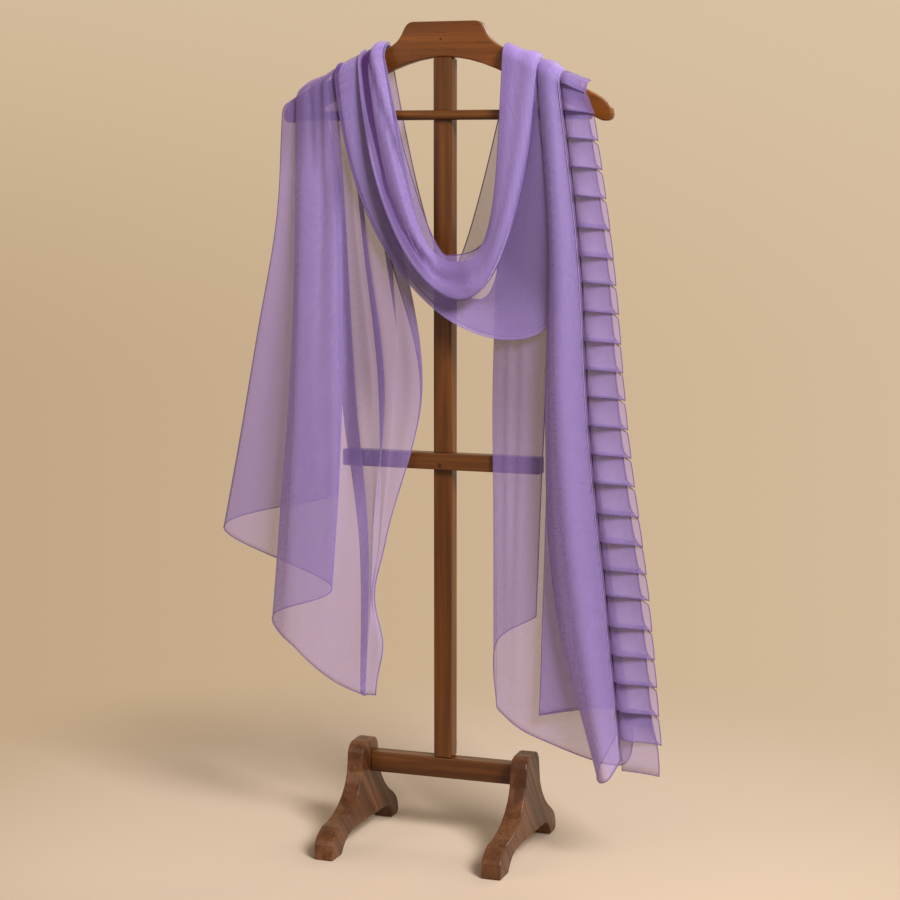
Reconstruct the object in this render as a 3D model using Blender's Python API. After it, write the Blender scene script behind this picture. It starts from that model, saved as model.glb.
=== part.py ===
"""Organza stole wound once round a wooden valet stand.

The stand is a square post on two shaped feet, with a shoulder-shaped hanger board, a round upper rod and a
trouser bar. The stole is one long piece of cloth with a knife-pleated ruffle on part of one long edge:

    left end -> neck loop behind the post -> front swag -> back pass behind the board -> right end

Each stretch of the stole is a thin wall lofted through its fold lines. Units are metres, +Z is up, X runs
along the hanger board and the front faces -Y. The empty at the post's axis carries every piece, and the
world origin is under the middle of the whole.
"""

import math
from collections import namedtuple

import bmesh
import bpy
from mathutils import Vector

# The whole
POST_AXIS = (-0.0089, 0.0315, 0.0)
GAP = 0.0003

# The stand
POST_SIDE = 0.026
POST_EDGE = 0.003
BASE_BAR_TOP = 0.118
BASE_BAR_HEIGHT = 0.029
BASE_BAR_DEPTH = 0.023
FEET_APART = 0.241
FOOT_THICK = 0.0277
FOOT_NARROWING = 0.0036
FOOT_NARROW_FROM = 0.030
FOOT_NARROW_TO = 0.085
EDGE = 0.002
TROUSER_BAR_HALF = 0.144
TROUSER_BAR_DEPTH = 0.020
TROUSER_BAR_HEIGHT = 0.023
TROUSER_BAR_MIDDLE = 0.5375
ROD_RADIUS = 0.00675
ROD_HALF = 0.210
ROD_MIDDLE = 1.007
BOARD_THICK = 0.015
BOARD_TOP = 1.132
ARCH_TOP = 1.0845
WING_START = (0.082, 1.0965)
WING_END = (0.205, 1.037)
TIP_REACH = 0.2358
TIP_MIDDLE = 1.0075
CURVE_STEPS = 5

# The cloth
CLOTH = 0.0012
CREST_LIFT = 0.0045
FRONT_REACH = 0.0225
BACK_REACH = 0.0110
FRONT_DROP = 0.020
BACK_DROP = 0.008
CREST_STEPS = 3
END_STEPS = 14
SWAG_STEPS = 9
FOLD_STEPS = 3

WALNUT = (0.130, 0.050, 0.018, 1.0)
LILAC = (0.30, 0.20, 0.50, 1.0)


def material(name, colour, roughness):
    made = bpy.data.materials.new(name)
    made.use_nodes = True
    shader = made.node_tree.nodes["Principled BSDF"]
    shader.inputs["Base Color"].default_value = colour
    shader.inputs["Roughness"].default_value = roughness
    shader.inputs["Metallic"].default_value = 0.0
    return made


def place(name, shape, look, carrier):
    """Turns a bmesh into an object of its own, with its material, carried by the post's axis."""
    mesh = bpy.data.meshes.new(name)
    bmesh.ops.recalc_face_normals(shape, faces=shape.faces)
    shape.to_mesh(mesh)
    shape.free()
    mesh.materials.append(look)
    made = bpy.data.objects.new(name, mesh)
    bpy.context.scene.collection.objects.link(made)
    made.parent = carrier
    return made


def ease_edges(piece, width, segments=2):
    bevel = piece.modifiers.new("eased edges", "BEVEL")
    bevel.width = width
    bevel.segments = segments
    bevel.limit_method = "ANGLE"
    bevel.angle_limit = math.radians(35)


def cut(piece, cutter):
    cutter.hide_render = True
    cutter.display_type = "WIRE"
    housing = piece.modifiers.new("housing", "BOOLEAN")
    housing.operation = "DIFFERENCE"
    housing.object = cutter


def box(low, high):
    shape = bmesh.new()
    bmesh.ops.create_cube(shape, size=1.0)
    low, high = Vector(low), Vector(high)
    for corner in shape.verts:
        for axis in range(3):
            corner.co[axis] = low[axis] if corner.co[axis] < 0 else high[axis]
    return shape


def bezier(start, pull_a, pull_b, end, steps=CURVE_STEPS):
    """The points of a curve with two handles, without its last point."""
    points = []
    for step in range(steps):
        share = step / steps
        rest = 1 - share
        weights = (rest**3, 3 * rest**2 * share, 3 * rest * share**2, share**3)
        corners = (start, pull_a, pull_b, end)
        points.append(tuple(sum(w * c[i] for w, c in zip(weights, corners)) for i in range(len(start))))
    return points


def extruded(outline, across, place_point):
    """A plate of this outline: place_point turns an outline point and a depth into a place."""
    shape = bmesh.new()
    rim = [shape.verts.new(place_point(point, -across / 2)) for point in outline]
    face = shape.faces.new(rim)
    grown = bmesh.ops.extrude_face_region(shape, geom=[face])
    for item in grown["geom"]:
        if isinstance(item, bmesh.types.BMVert):
            item.co += Vector(place_point((0, 0), across / 2)) - Vector(place_point((0, 0), -across / 2))
    return shape


# ---------------------------------------------------------------- the stand


def hanger_outline():
    """Half of the board from its top middle round the tip to its arch, then the other half mirrored."""
    half = [(0.0, BOARD_TOP)]
    half += bezier((0.044, BOARD_TOP), (0.052, BOARD_TOP), (0.056, 1.126), (0.0585, 1.120))
    half += bezier((0.0585, 1.120), (0.064, 1.108), (0.070, 1.1025), WING_START)
    half += [WING_START]
    half += bezier(WING_END, (0.222, 1.029), (TIP_REACH, 1.020), (TIP_REACH, TIP_MIDDLE))
    half += bezier((TIP_REACH, TIP_MIDDLE), (TIP_REACH, 0.999), (0.230, 0.9975), (0.222, 0.9985))
    half += [(0.222, 0.9985)]
    half += bezier((0.095, 1.0585), (0.060, 1.076), (0.030, ARCH_TOP), (0.0, ARCH_TOP))
    half += [(0.0, ARCH_TOP)]
    mirrored = [(-x, z) for x, z in reversed(half[1:-1])]
    return half + mirrored


def wing_top(x):
    """Height of the hanger board's upper edge on its sloping wings."""
    slope = (WING_END[1] - WING_START[1]) / (WING_END[0] - WING_START[0])
    height = WING_START[1] + slope * (abs(x) - WING_START[0])
    beyond = (abs(x) - WING_END[0]) / (TIP_REACH - WING_END[0])
    if beyond > 0:
        height -= 0.0147 * (1 - math.sqrt(max(0.0, 1 - beyond**2)))
    return height


def foot_outline():
    """Side view of a foot as (y, z): block at the bar, long front toe, arched belly, round heel."""
    points = bezier((-0.040, 0.114), (-0.040, 0.128), (-0.032, 0.1355), (-0.014, 0.1355))
    points += bezier((0.002, 0.1355), (0.014, 0.1355), (0.019, 0.126), (0.020, 0.110))
    points += bezier((0.020, 0.110), (0.022, 0.075), (0.045, 0.052), (0.068, 0.040))
    points += bezier((0.068, 0.040), (0.082, 0.032), (0.092, 0.022), (0.092, 0.008))
    points += bezier((0.092, 0.008), (0.092, 0.003), (0.089, 0.0), (0.084, 0.0), 3)
    points += [(0.084, 0.0)]
    points += bezier((0.065, 0.0), (0.062, 0.016), (0.050, 0.024), (0.028, 0.024))
    points += bezier((-0.068, 0.024), (-0.098, 0.024), (-0.112, 0.014), (-0.121, 0.0))
    points += [(-0.121, 0.0), (-0.155, 0.0)]
    points += bezier((-0.155, 0.014), (-0.155, 0.026), (-0.146, 0.034), (-0.128, 0.040))
    points += bezier((-0.128, 0.040), (-0.082, 0.042), (-0.040, 0.066), (-0.040, 0.114), 7)
    return points


def build_stand(carrier, wood):
    half_post = POST_SIDE / 2
    post = place(
        "post",
        box((-half_post, -half_post, BASE_BAR_TOP + GAP), (half_post, half_post, ARCH_TOP - 2 * GAP)),
        wood,
        carrier,
    )
    ease_edges(post, POST_EDGE, 3)

    board = extruded(hanger_outline(), BOARD_THICK, lambda p, depth: (p[0], depth, p[1]))
    board = place("hanger_board", board, wood, carrier)
    ease_edges(board, EDGE)

    rod_y = -(BOARD_THICK / 2 + GAP + ROD_RADIUS)
    rod = bmesh.new()
    bmesh.ops.create_cone(
        rod, cap_ends=True, segments=20, radius1=ROD_RADIUS, radius2=ROD_RADIUS, depth=2 * ROD_HALF
    )
    rod = place("upper_rod", rod, wood, carrier)
    rod.rotation_euler = (0, math.radians(90), 0)
    rod.location = (0, rod_y, ROD_MIDDLE)
    room = ROD_RADIUS + GAP
    notch = box((-0.05, -0.05, ROD_MIDDLE - room), (0.05, rod_y + room, ROD_MIDDLE + room))
    cut(post, place("rod_housing", notch, wood, carrier))

    bar_low = TROUSER_BAR_MIDDLE - TROUSER_BAR_HEIGHT / 2
    bar_high = TROUSER_BAR_MIDDLE + TROUSER_BAR_HEIGHT / 2
    bar_front, bar_back = -half_post - TROUSER_BAR_DEPTH / 2, -half_post + TROUSER_BAR_DEPTH / 2
    bar = box((-TROUSER_BAR_HALF, bar_front, bar_low), (TROUSER_BAR_HALF, bar_back, bar_high))
    bar = place("trouser_bar", bar, wood, carrier)
    ease_edges(bar, EDGE)
    notch = box((-0.05, -0.05, bar_low - GAP), (0.05, bar_back + GAP, bar_high + GAP))
    cut(post, place("bar_housing", notch, wood, carrier))

    inner_face = FEET_APART / 2 - (FOOT_THICK - FOOT_NARROWING) / 2 - GAP
    base_low = BASE_BAR_TOP - BASE_BAR_HEIGHT
    half_depth = BASE_BAR_DEPTH / 2
    base = box((-inner_face, -half_depth, base_low), (inner_face, half_depth, BASE_BAR_TOP))
    base = place("base_bar", base, wood, carrier)
    ease_edges(base, EDGE)

    for name, side in (("foot_left", -1), ("foot_right", 1)):
        foot = extruded(foot_outline(), FOOT_THICK, lambda p, depth: (depth, p[0], p[1]))
        for height in (FOOT_NARROW_FROM, FOOT_NARROW_TO):
            whole = foot.verts[:] + foot.edges[:] + foot.faces[:]
            bmesh.ops.bisect_plane(foot, geom=whole, plane_co=(0, 0, height), plane_no=(0, 0, 1))
        for corner in foot.verts:
            rise = (corner.co.z - FOOT_NARROW_FROM) / (FOOT_NARROW_TO - FOOT_NARROW_FROM)
            corner.co.x *= 1 - min(max(rise, 0), 1) * FOOT_NARROWING / FOOT_THICK
        foot = place(name, foot, wood, carrier)
        foot.location = (side * FEET_APART / 2, 0, 0)
        ease_edges(foot, EDGE)


# ---------------------------------------------------------------- the cloth


def through(values, share):
    """A smooth curve through evenly spaced values, read at a share from 0 to 1."""
    place_on = share * (len(values) - 1)
    first = min(int(place_on), len(values) - 2)
    t = place_on - first
    a, b = values[first], values[first + 1]
    before = values[first - 1] if first > 0 else 2 * a - b
    after = values[first + 2] if first + 2 < len(values) else 2 * b - a
    pull_a, pull_b = (b - before) / 2, (after - a) / 2
    return (
        (2 * t**3 - 3 * t**2 + 1) * a
        + (t**3 - 2 * t**2 + t) * pull_a
        + (3 * t**2 - 2 * t**3) * b
        + (t**3 - t**2) * pull_b
    )


def across_folds(row, steps=FOLD_STEPS):
    """Points across the cloth at one height, smoothly through a row of fold points."""
    count = (len(row) - 1) * steps
    columns = zip(*row)
    curves = [[through(column, step / count) for step in range(count + 1)] for column in columns]
    return [Vector(point) for point in zip(*curves)]


def crest_rows(x, lift, side):
    """Points of one fold line from the crest of the wing down to where it hangs free.

    side is -1 at the front, where the cloth clears the upper rod, and 1 at the back.
    """
    reach = (FRONT_REACH if side < 0 else BACK_REACH) + lift
    drop = FRONT_DROP if side < 0 else BACK_DROP
    top = wing_top(x) + CREST_LIFT + lift
    seam = side * (GAP / 2)
    rows = []
    for step in range(CREST_STEPS + 1):
        angle = math.radians(90) * step / CREST_STEPS
        y = seam + side * reach * math.sin(angle)
        rows.append((x, y, top - drop * (1 - math.cos(angle))))
    return rows


def cloth_wall(name, rows, look, carrier):
    """A wall of cloth lofted through rows of points, thickened evenly to both sides."""
    shape = bmesh.new()
    grid = [[shape.verts.new(point) for point in row] for row in rows]
    for upper, lower in zip(grid, grid[1:]):
        for i in range(len(upper) - 1):
            shape.faces.new((upper[i], upper[i + 1], lower[i + 1], lower[i]))
    made = place(name, shape, look, carrier)
    wall = made.modifiers.new("cloth wall", "SOLIDIFY")
    wall.thickness = CLOTH
    wall.offset = 0.0
    made.data.shade_smooth()
    return made


# A hanging end falls from the crest of a wing to its hem. Each row is one fold line: x at five even stations
# from the crest to the hem, how far it lies above the wood, how far forward it hangs, and its hem's height.
EndFold = namedtuple("EndFold", "name lift x_top x_upper x_middle x_lower x_hem y_middle y_hem z_hem")

LEFT_END = (
    EndFold("back edge", 0.0010, -0.216, -0.188, -0.180, -0.178, -0.176, -0.030, -0.036, 0.490),
    EndFold("outer fold", 0.0030, -0.213, -0.236, -0.261, -0.288, -0.316, -0.042, -0.050, 0.433),
    EndFold("inner fold", 0.0036, -0.209, -0.166, -0.150, -0.142, -0.146, -0.051, -0.062, 0.362),
    EndFold("tube left", 0.0056, -0.205, -0.200, -0.200, -0.208, -0.223, -0.062, -0.086, 0.321),
    EndFold("tube front", 0.0060, -0.180, -0.168, -0.165, -0.168, -0.180, -0.072, -0.096, 0.280),
    EndFold("valley", 0.0056, -0.158, -0.139, -0.130, -0.126, -0.134, -0.050, -0.072, 0.234),
    EndFold("small fold", 0.0054, -0.135, -0.103, -0.088, -0.092, -0.116, -0.049, -0.062, 0.222),
    EndFold("inner contour", 0.0048, -0.115, -0.055, -0.018, -0.066, -0.099, -0.042, -0.056, 0.217),
    EndFold("under fold", 0.0026, -0.104, -0.082, -0.112, -0.106, -0.096, -0.035, -0.050, 0.216),
    EndFold("long edge", 0.0008, -0.088, -0.058, -0.028, -0.070, -0.087, -0.029, -0.044, 0.213),
)

RIGHT_END = (
    EndFold("back edge", 0.0034, 0.130, 0.134, 0.137, 0.140, 0.141, -0.024, -0.027, 0.332),
    EndFold("left turn back", 0.0040, 0.131, 0.094, 0.084, 0.085, 0.086, -0.027, -0.031, 0.294),
    EndFold("left turn front", 0.0047, 0.132, 0.095, 0.085, 0.086, 0.090, -0.030, -0.036, 0.204),
    EndFold("crease", 0.0058, 0.135, 0.145, 0.152, 0.150, 0.148, -0.033, -0.042, 0.168),
    EndFold("right turn low", 0.0074, 0.138, 0.176, 0.192, 0.216, 0.254, -0.036, -0.047, 0.143),
    EndFold("right turn high", 0.0080, 0.139, 0.177, 0.193, 0.217, 0.253, -0.039, -0.052, 0.214),
    EndFold("pleat edge", 0.0088, 0.140, 0.158, 0.161, 0.160, 0.160, -0.043, -0.057, 0.212),
    EndFold("inner turn", 0.0096, 0.142, 0.178, 0.194, 0.218, 0.254, -0.049, -0.064, 0.214),
    EndFold("tube left", 0.0104, 0.143, 0.158, 0.163, 0.182, 0.246, -0.058, -0.084, 0.140),
    EndFold("tube front", 0.0104, 0.154, 0.178, 0.192, 0.220, 0.264, -0.068, -0.098, 0.134),
    EndFold("ruffle seam", 0.0090, 0.165, 0.199, 0.216, 0.243, 0.277, -0.052, -0.076, 0.160),
)


def hanging_end(folds, share):
    """The row of fold points of a hanging end at a share of the way from the crest to the hem."""
    row = []
    for fold in folds:
        x_top, y_top, z_top = crest_rows(fold.x_top, fold.lift, -1)[-1]
        x = through((x_top, fold.x_upper, fold.x_middle, fold.x_lower, fold.x_hem), share)
        y = through((y_top, fold.y_middle, fold.y_hem), share)
        row.append((x, y, z_top + (fold.z_hem - z_top) * share))
    return row


def end_rows(folds):
    crests = zip(*(crest_rows(fold.x_top, fold.lift, -1)[:-1] for fold in folds))
    falls = [hanging_end(folds, step / END_STEPS) for step in range(END_STEPS + 1)]
    return [across_folds(row) for row in [*crests, *falls]]


# A swag hangs between the two wings. Each row is one fold line: where it crosses each wing and how far it
# lies above the wood there, its lowest point, and how far back it hangs on the left, there and on the right.
# From each wing it first leans inwards, and at its lowest point it is level for a reach to either side.
SwagFold = namedtuple(
    "SwagFold",
    "name x_left lift_left lean_left y_left reach_left x_low y_low z_low reach_right"
    " y_right lean_right lift_right x_right",
)

FRONT_SWAG = tuple(
    SwagFold(*row)
    for row in (
        ("inner edge", -0.081, 0.0010, 0.030, -0.044, 0.030, 0.010, -0.022, 0.818)
        + (0.065, -0.040, -0.001, 0.0006, 0.088),
        ("first fold", -0.086, 0.0036, 0.041, -0.046, 0.041, 0.036, -0.036, 0.788)
        + (0.035, -0.044, -0.009, 0.0012, 0.094),
        ("first turn", -0.090, 0.0048, 0.041, -0.049, 0.041, 0.034, -0.041, 0.808)
        + (0.044, -0.048, -0.006, 0.0018, 0.098),
        ("middle fold", -0.104, 0.0064, 0.043, -0.052, 0.055, 0.040, -0.047, 0.774)
        + (0.034, -0.054, -0.019, 0.0036, 0.114),
        ("middle turn", -0.100, 0.0076, 0.041, -0.055, 0.053, 0.038, -0.052, 0.792)
        + (0.036, -0.058, -0.017, 0.0046, 0.112),
        ("main fold", -0.116, 0.0088, 0.049, -0.059, 0.063, 0.048, -0.058, 0.761)
        + (0.039, -0.062, -0.013, 0.0056, 0.118),
        ("lower valley", -0.128, 0.0092, 0.054, -0.054, 0.078, 0.066, -0.048, 0.741)
        + (0.060, -0.060, 0.012, 0.0066, 0.120),
        ("outer edge", -0.148, 0.0096, 0.018, -0.050, 0.112, 0.102, -0.041, 0.709)
        + (0.092, -0.050, 0.028, 0.0076, 0.122),
    )
)

NECK_LOOP = tuple(
    SwagFold(*row)
    for row in (
        ("upper edge", -0.088, 0.0008, 0.025, 0.030, 0.030, -0.002, 0.034, 0.797)
        + (0.012, 0.030, -0.046, 0.0006, 0.088),
        ("upper fold", -0.106, 0.0040, 0.040, 0.034, 0.045, 0.000, 0.040, 0.768)
        + (0.045, 0.034, -0.026, 0.0018, 0.098),
        ("middle turn", -0.130, 0.0055, 0.040, 0.030, 0.052, 0.000, 0.035, 0.786)
        + (0.045, 0.030, -0.028, 0.0024, 0.106),
        ("lower fold", -0.165, 0.0055, 0.045, 0.027, 0.072, 0.002, 0.031, 0.762)
        + (0.060, 0.027, -0.022, 0.0030, 0.114),
        ("lower edge", -0.214, 0.0024, 0.050, 0.022, 0.104, 0.002, 0.026, 0.755)
        + (0.070, 0.022, -0.020, 0.0036, 0.120),
    )
)

BACK_PASS = tuple(
    SwagFold(*row)
    for row in (
        ("upper edge", -0.081, 0.0010, 0.027, 0.016, 0.027, 0.0, 0.0130, 1.108)
        + (0.043, 0.022, -0.043, 0.0050, 0.130),
        ("upper fold", -0.096, 0.0050, 0.032, 0.021, 0.032, 0.0, 0.0155, 1.104)
        + (0.045, 0.026, -0.045, 0.0072, 0.136),
        ("middle fold", -0.116, 0.0088, 0.039, 0.025, 0.039, 0.0, 0.0135, 1.099)
        + (0.047, 0.029, -0.047, 0.0090, 0.142),
        ("lower fold", -0.134, 0.0100, 0.045, 0.028, 0.045, 0.0, 0.0165, 1.094)
        + (0.051, 0.032, -0.051, 0.0104, 0.153),
        ("lower edge", -0.150, 0.0104, 0.050, 0.030, 0.050, 0.0, 0.0140, 1.090)
        + (0.055, 0.034, -0.055, 0.0090, 0.165),
    )
)


def swag_side(start, lean, y_side, reach, low, steps=SWAG_STEPS):
    """One side of a swag's fold line, from the crest's last point down to just before its lowest point."""
    pull_a = (start[0] + lean, y_side, start[2] + (low[2] - start[2]) * 2 / 3)
    pull_b = (low[0] + reach, low[1], low[2])
    return bezier(start, pull_a, pull_b, low, steps)


def swag_line(fold, side):
    """All points of one fold line of a swag, from the left crest to the right crest."""
    left = crest_rows(fold.x_left, fold.lift_left, side)
    right = crest_rows(fold.x_right, fold.lift_right, side)
    low = (fold.x_low, fold.y_low, fold.z_low)
    down = swag_side(left[-1], fold.lean_left, fold.y_left, -fold.reach_left, low)
    up = swag_side(right[-1], fold.lean_right, fold.y_right, fold.reach_right, low)
    return left[:-1] + down + [low] + up[::-1] + right[-2::-1]


def swag_rows(folds, side):
    return [across_folds(row) for row in zip(*(swag_line(fold, side) for fold in folds))]


# The ruffle is a band of knife pleats, each lapping over the next one down, sewn along the right end's seam.
# It starts flat on the wing, and its pleats begin where the cloth hangs free.
PLEATS = 24
PLEAT_LAP = 0.006
PLEAT_DEPTH = 0.010
PLEAT_SPREAD = 0.86
RUFFLE_END = 0.985
RUFFLE_WIDTHS = (0.044, 0.052, 0.058, 0.062, 0.057)


def ruffle_start(step):
    """Three points across the ruffle where it lies on the wing, at one step of the crest's curve."""
    seam = RIGHT_END[-1]
    places = (GAP + CLOTH / 2, RUFFLE_WIDTHS[0] / 2, RUFFLE_WIDTHS[0])
    return [Vector(crest_rows(seam.x_top + off, seam.lift, -1)[step]) for off in places]


def ruffle_row(share, forward, spread):
    """Three points across the ruffle at a share of the seam, this far forward and this widely spread."""
    x, y, z = hanging_end(RIGHT_END, share)[-1]
    width = through(RUFFLE_WIDTHS, share) * spread
    start = Vector((x + GAP + CLOTH / 2, y - forward / 2, z))
    return [start, start + Vector((width / 2, -forward / 2, 0)), start + Vector((width, -forward / 3, 0))]


def ruffle_rows():
    pitch = RUFFLE_END / PLEATS
    length = hanging_end(RIGHT_END, 0)[-1][2] - RIGHT_END[-1].z_hem
    lap = PLEAT_LAP / length
    rows = [ruffle_start(step) for step in range(CREST_STEPS)]
    for pleat in range(PLEATS):
        top = pleat * pitch
        rows.append(ruffle_row(top, 0.0, PLEAT_SPREAD))
        rows.append(ruffle_row(top + pitch + lap, PLEAT_DEPTH, 1.0))
    return rows


def build_stole(carrier, organza):
    cloth_wall("left_end", end_rows(LEFT_END), organza, carrier)
    cloth_wall("neck_loop", swag_rows(NECK_LOOP, 1), organza, carrier)
    cloth_wall("front_swag", swag_rows(FRONT_SWAG, -1), organza, carrier)
    cloth_wall("back_pass", swag_rows(BACK_PASS, 1), organza, carrier)
    cloth_wall("right_end", end_rows(RIGHT_END), organza, carrier)
    cloth_wall("pleated_ruffle", ruffle_rows(), organza, carrier)


for old in list(bpy.data.objects):
    bpy.data.objects.remove(old, do_unlink=True)

axis = bpy.data.objects.new("post_axis", None)
axis.location = POST_AXIS
bpy.context.scene.collection.objects.link(axis)
build_stand(axis, material("walnut", WALNUT, 0.4))
build_stole(axis, material("organza", LILAC, 0.55))
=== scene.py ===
"""Organza stole with a knife-pleated ruffle, wound once round a wooden valet stand.

The stand stands as it is packed and only gets its finish. The stole's six stretches are laid over it as sheer
sheets on the forms of their solids: left end, neck loop, front swag, back pass, right end and ruffle.
Units are metres, +Z is up, X runs along the hanger board and the front faces -Y.
"""

import math
import random
from collections import namedtuple

import bmesh
import bpy
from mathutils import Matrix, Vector, noise


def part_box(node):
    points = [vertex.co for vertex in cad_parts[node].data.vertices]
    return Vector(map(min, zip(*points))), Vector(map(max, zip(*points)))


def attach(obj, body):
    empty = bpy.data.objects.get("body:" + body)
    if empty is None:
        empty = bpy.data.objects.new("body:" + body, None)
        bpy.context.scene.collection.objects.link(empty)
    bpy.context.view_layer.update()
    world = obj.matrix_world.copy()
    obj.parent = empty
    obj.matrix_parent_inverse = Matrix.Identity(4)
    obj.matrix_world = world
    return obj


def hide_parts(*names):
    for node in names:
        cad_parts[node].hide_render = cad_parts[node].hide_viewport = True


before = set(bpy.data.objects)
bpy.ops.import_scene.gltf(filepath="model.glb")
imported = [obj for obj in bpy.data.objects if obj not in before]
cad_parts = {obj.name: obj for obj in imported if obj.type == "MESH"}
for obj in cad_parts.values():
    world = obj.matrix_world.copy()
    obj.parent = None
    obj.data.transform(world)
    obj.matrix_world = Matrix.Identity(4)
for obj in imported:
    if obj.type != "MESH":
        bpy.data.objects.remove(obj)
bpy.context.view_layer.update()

# ---------------------------------------------------------------- the studio
# A pale warm floor that fades into a plain wall colour, one large soft lamp high on the right in front,
# a weak wide one on the left, and even light from all round. The camera looks from a little right of front.

POST_LOW, POST_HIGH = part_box("post")
AXIS = Vector(((POST_LOW.x + POST_HIGH.x) / 2, (POST_LOW.y + POST_HIGH.y) / 2, 0.0))

CAMERA_FROM_POST = Vector((1.0494, -2.8645, 0.9459))
CAMERA_TILT = 82.62
CAMERA_TURN = 20.0

camera_data = bpy.data.cameras.new("camera")
camera_data.sensor_width = 36.0
camera_data.lens = 89.3
camera = bpy.data.objects.new("camera", camera_data)
camera.location = AXIS + CAMERA_FROM_POST
camera.rotation_euler = (math.radians(CAMERA_TILT), 0.0, math.radians(CAMERA_TURN))
bpy.context.scene.collection.objects.link(camera)
bpy.context.scene.camera = camera
bpy.context.scene.view_settings.view_transform = "Standard"
# A ray may cross a dozen or more layers of sheer cloth, and each layer has two walls.
bpy.context.scene.cycles.transparent_max_bounces = 48

STOLE_MIDDLE = Vector((0.0, 0.0, 0.6))


def hang_lamp(name, place, size, watts, colour):
    """A square soft lamp that faces the middle of the stole."""
    data = bpy.data.lights.new(name, "AREA")
    data.size = size
    data.energy = watts
    data.color = colour
    lamp = bpy.data.objects.new(name, data)
    lamp.location = place
    lamp.rotation_euler = (STOLE_MIDDLE - lamp.location).to_track_quat("-Z", "Y").to_euler()
    bpy.context.scene.collection.objects.link(lamp)


hang_lamp("key lamp", (2.9, -2.5, 3.2), 1.5, 322.0, (0.96, 0.96, 1.0))
hang_lamp("fill lamp", (-2.2, -2.4, 1.5), 2.2, 28.0, (1.0, 0.92, 0.84))
hang_lamp("back lamp", (1.0, 2.6, 2.6), 1.6, 34.0, (1.0, 0.97, 0.93))

# The wall is seen, and mirrored, in these colours. It is darker to the left and lighter to the right and
# above:
# painted shade and light, as the key lamp on the right gives them. The room lights the object by its own
# colour and strength.
WALL_LEFT = (0.525, 0.374, 0.226, 1.0)
WALL_RIGHT = (0.668, 0.505, 0.342, 1.0)
WALL_ABOVE = (0.715, 0.560, 0.390, 1.0)
TO_THE_RIGHT = (0.940, 0.342, 0.0)
SIDE_BLEND = 0.25
RISE_FROM, RISE_TO, RISE_SHARE = -0.11, 0.14, 0.75
ROOM_LIGHT = (1.0, 0.82, 0.66, 1.0)
ROOM_STRENGTH = 0.24


def feed(tree, value, socket):
    """Links a socket to another one, or sets it to a number or a colour."""
    if isinstance(value, bpy.types.NodeSocket):
        tree.links.new(value, socket)
    else:
        socket.default_value = value


def maths(tree, kind, *values):
    """The sum, product or other result of sockets and numbers."""
    node = tree.nodes.new("ShaderNodeMath")
    node.operation = kind
    for socket, value in zip(node.inputs, values):
        feed(tree, value, socket)
    return node.outputs["Value"]


def ranged(tree, value, low, high, to_low=0.0, to_high=1.0, kind="LINEAR"):
    """A value taken from one range to another, and held within it."""
    node = tree.nodes.new("ShaderNodeMapRange")
    node.interpolation_type = kind
    tree.links.new(value, node.inputs["Value"])
    for socket, number in zip(("From Min", "From Max", "To Min", "To Max"), (low, high, to_low, to_high)):
        node.inputs[socket].default_value = number
    return node.outputs["Result"]


def blended(tree, share, first, second):
    """A colour at a share of the way from the first one to the second."""
    node = tree.nodes.new("ShaderNodeMix")
    node.data_type = "RGBA"
    for socket, value in (("Factor", share), ("A", first), ("B", second)):
        feed(tree, value, node.inputs[socket])
    return node.outputs["Result"]


world = bpy.data.worlds.new("studio")
bpy.context.scene.world = world
world.use_nodes = True
tree = world.node_tree
tree.nodes.clear()
direction = tree.nodes.new("ShaderNodeTexCoord")
rightwards = tree.nodes.new("ShaderNodeVectorMath")
rightwards.operation = "DOT_PRODUCT"
rightwards.inputs[1].default_value = TO_THE_RIGHT
tree.links.new(direction.outputs["Generated"], rightwards.inputs[0])
upwards = tree.nodes.new("ShaderNodeSeparateXYZ")
tree.links.new(direction.outputs["Generated"], upwards.inputs["Vector"])
to_right = ranged(tree, rightwards.outputs["Value"], -SIDE_BLEND, SIDE_BLEND)
wall = blended(tree, to_right, WALL_LEFT, WALL_RIGHT)
rise = ranged(tree, upwards.outputs["Z"], RISE_FROM, RISE_TO, 0.0, RISE_SHARE, "SMOOTHSTEP")
seen = tree.nodes.new("ShaderNodeBackground")
tree.links.new(blended(tree, rise, wall, WALL_ABOVE), seen.inputs["Color"])
lit = tree.nodes.new("ShaderNodeBackground")
lit.inputs["Color"].default_value = ROOM_LIGHT
lit.inputs["Strength"].default_value = ROOM_STRENGTH
rays = tree.nodes.new("ShaderNodeLightPath")
seen_ray = maths(tree, "MAXIMUM", rays.outputs["Is Camera Ray"], rays.outputs["Is Transmission Ray"])
seen_ray = maths(tree, "MAXIMUM", seen_ray, rays.outputs["Is Glossy Ray"])
choice = tree.nodes.new("ShaderNodeMixShader")
tree.links.new(seen_ray, choice.inputs["Fac"])
tree.links.new(lit.outputs["Background"], choice.inputs[1])
tree.links.new(seen.outputs["Background"], choice.inputs[2])
sky = tree.nodes.new("ShaderNodeOutputWorld")
tree.links.new(choice.outputs["Shader"], sky.inputs["Surface"])

FLOOR_RADIUS = 1.6
FLOOR_SOLID_TO = 0.42
FLOOR_GONE_FROM = 1.15
FLOOR_DROP = -0.0004
FLOOR_COLOUR = (0.60, 0.472, 0.345, 1.0)

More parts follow.
